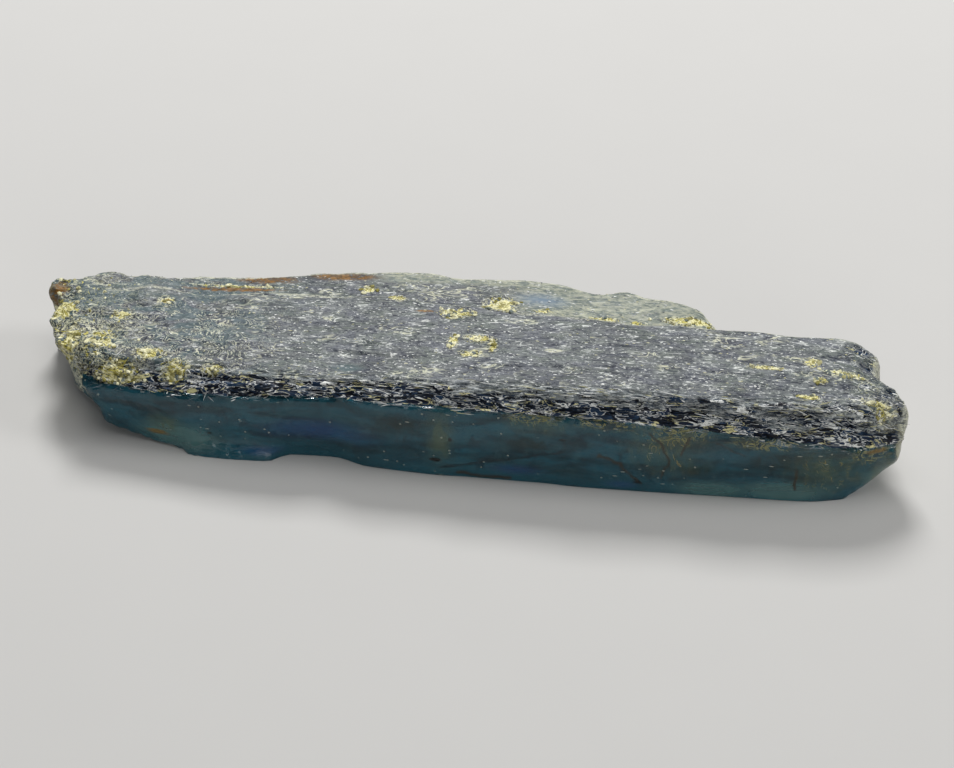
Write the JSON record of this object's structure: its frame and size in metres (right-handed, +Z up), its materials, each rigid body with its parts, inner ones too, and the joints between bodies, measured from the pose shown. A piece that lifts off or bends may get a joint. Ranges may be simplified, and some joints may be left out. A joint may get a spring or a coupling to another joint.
{
  "type": "kyanite crystal",
  "caption": "Bladed kyanite crystal lying on its flat face, with a clear blue front face, a torn front edge, a striated silvery upper face, a rear ledge, a broken end and a worn end.",
  "frame": {"origin": "middle of the bounding box, on the flat underside that the crystal lies on", "axes": "+X along the blade from the broken end to the worn end, +Y from the clear front face to the rear ledge, +Z up"},
  "size_m": [0.054, 0.0134, 0.0064],
  "materials": {
    "kyanite": "slate blue crystal, see-through and glossy on its clear faces, silvery, striated and stained yellow on its open cleavage"
  },
  "bodies": {
    "root": {"kyanite_crystal": "kyanite"}
  },
  "joints": []
}
